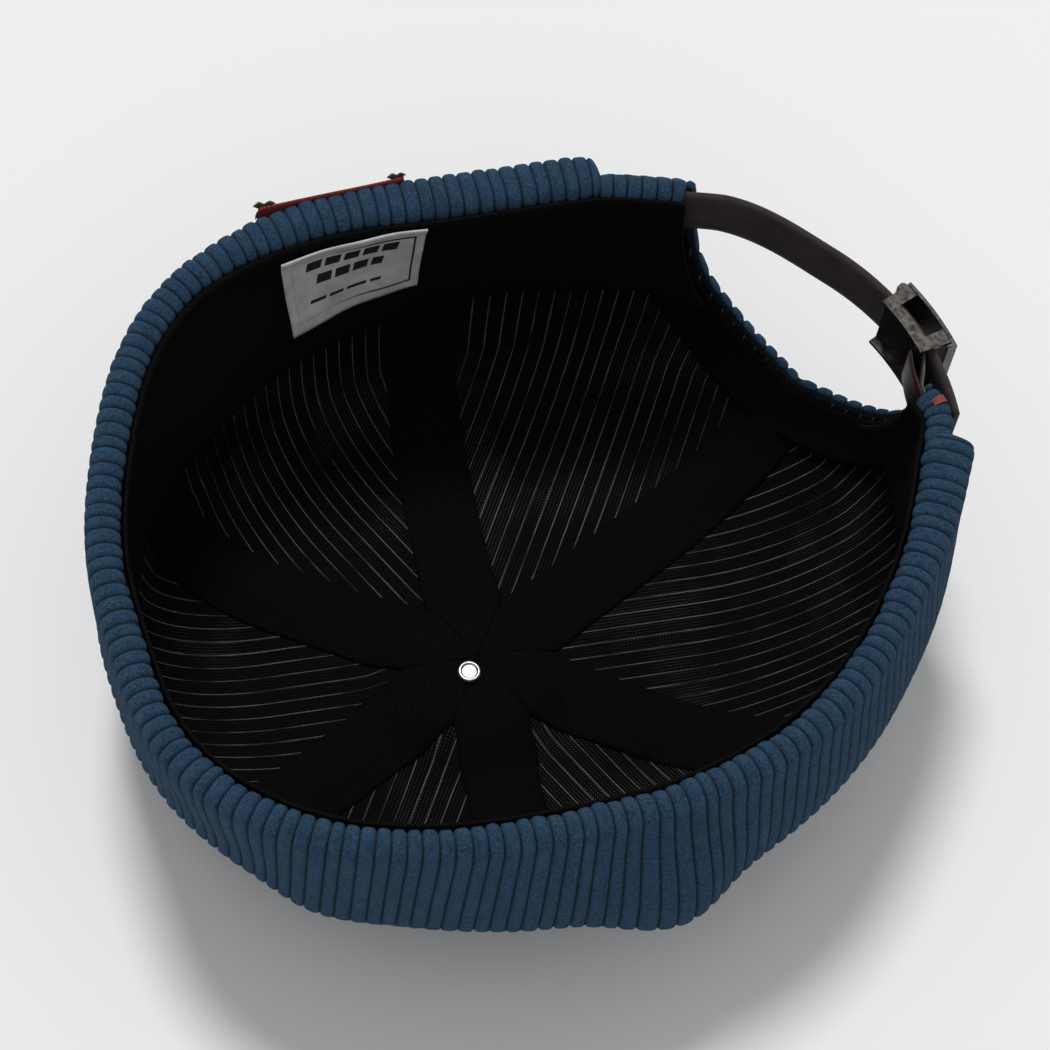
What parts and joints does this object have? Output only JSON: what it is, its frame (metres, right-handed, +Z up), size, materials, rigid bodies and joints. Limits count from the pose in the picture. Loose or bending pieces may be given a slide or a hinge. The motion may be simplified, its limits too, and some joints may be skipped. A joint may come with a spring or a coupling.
{
  "type": "docker cap",
  "caption": "Brimless corduroy docker cap lying on its crown: gored crown, turned-up cuff, black lining, back arch with adjustable leather strap and lever clasp",
  "frame": {"origin": "on the floor plane, under the middle of the whole cap, which lies on its crown", "axes": "+Z up, out of the head opening; +Y to the back of the cap, where the arch and strap are; -X to the wearer's left"},
  "size_m": [0.1822, 0.2148, 0.0808],
  "materials": {
    "corduroy": "wide-wale cotton corduroy",
    "lining": "plain-woven black cotton, the corduroy's back",
    "black_tape": "matt bias tape",
    "sweatband": "matt cotton twill",
    "strap_leather": "suede side out, matt",
    "tab_leather": "smooth, satin",
    "clasp_metal": "worn antique finish",
    "button_metal": "plain",
    "rivet_metal": "bright, satin",
    "label_cloth": "woven damask",
    "patch_cloth": "woven twill",
    "black_thread": "twisted thread",
    "red_thread": "twisted thread"
  },
  "bodies": {
    "cap": {"crown_back_left": "corduroy", "crown_side_left": "corduroy", "crown_front_left": "corduroy", "crown_front_right": "corduroy", "crown_side_right": "corduroy", "crown_back_right": "corduroy", "lining_back_left": "lining", "lining_side_left": "lining", "lining_front_left": "lining", "lining_front_right": "lining", "lining_side_right": "lining", "lining_back_right": "lining", "seam_tape_back": "black_tape", "seam_tape_rear_left": "black_tape", "seam_tape_front_left": "black_tape", "seam_tape_front": "black_tape", "seam_tape_front_right": "black_tape", "seam_tape_rear_right": "black_tape", "arch_facing": "black_tape", "sweatband": "sweatband", "cuff": "corduroy", "button_cover": "corduroy", "button_shell": "button_metal", "rivet": "rivet_metal", "strap": "strap_leather", "woven_label": "label_cloth", "cuff_patch": "patch_cloth", "patch_stitches": "black_thread", "ear_bartack": "red_thread"},
    "clasp": {"clasp_frame": "clasp_metal", "clasp_pin": "clasp_metal", "tab": "tab_leather"},
    "lever": {"clasp_lever": "clasp_metal"}
  },
  "joints": [
    {"name": "clasp_slide", "type": "hinge", "parent": "cap", "child": "clasp", "pos_m": [0.0112, 0.03865, 0.0715], "axis": [0, 0, 1], "range_deg": [-0.9, 7.1]},
    {"name": "lever_hinge", "type": "hinge", "parent": "clasp", "child": "lever", "pos_m": [0.01414, 0.10554, 0.0715], "axis": [0, 0, 1], "range_deg": [0, 100]}
  ]
}
